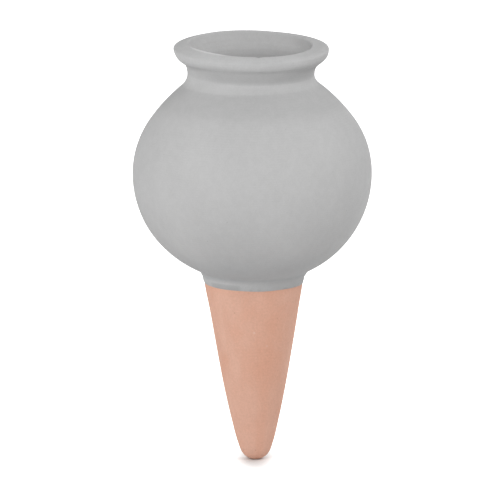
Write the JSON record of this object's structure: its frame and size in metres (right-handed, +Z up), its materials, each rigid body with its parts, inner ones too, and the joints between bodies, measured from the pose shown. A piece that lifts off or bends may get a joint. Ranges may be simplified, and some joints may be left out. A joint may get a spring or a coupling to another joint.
{
  "type": "self watering spike",
  "caption": "Earthenware watering globe with a rolled lip over a hollow porous cone. Filled at the mouth and pushed into soil, it lets water seep out through the bare cone.",
  "frame": {"origin": "on the axis at soil level, where the grey coat ends on the spike", "axes": "+Z up along the axis of the globe and the spike, towards the mouth; X and Y are free because the part is round"},
  "size_m": [0.0649, 0.0648, 0.1149],
  "materials": {
    "bisque": "matte",
    "terracotta": "matte",
    "slip": "matte",
    "matt_grey": "matte"
  },
  "bodies": {
    "root": {"globe": "bisque", "spike": "terracotta", "luting_ring": "slip", "grey_coat": "matt_grey"}
  },
  "joints": []
}
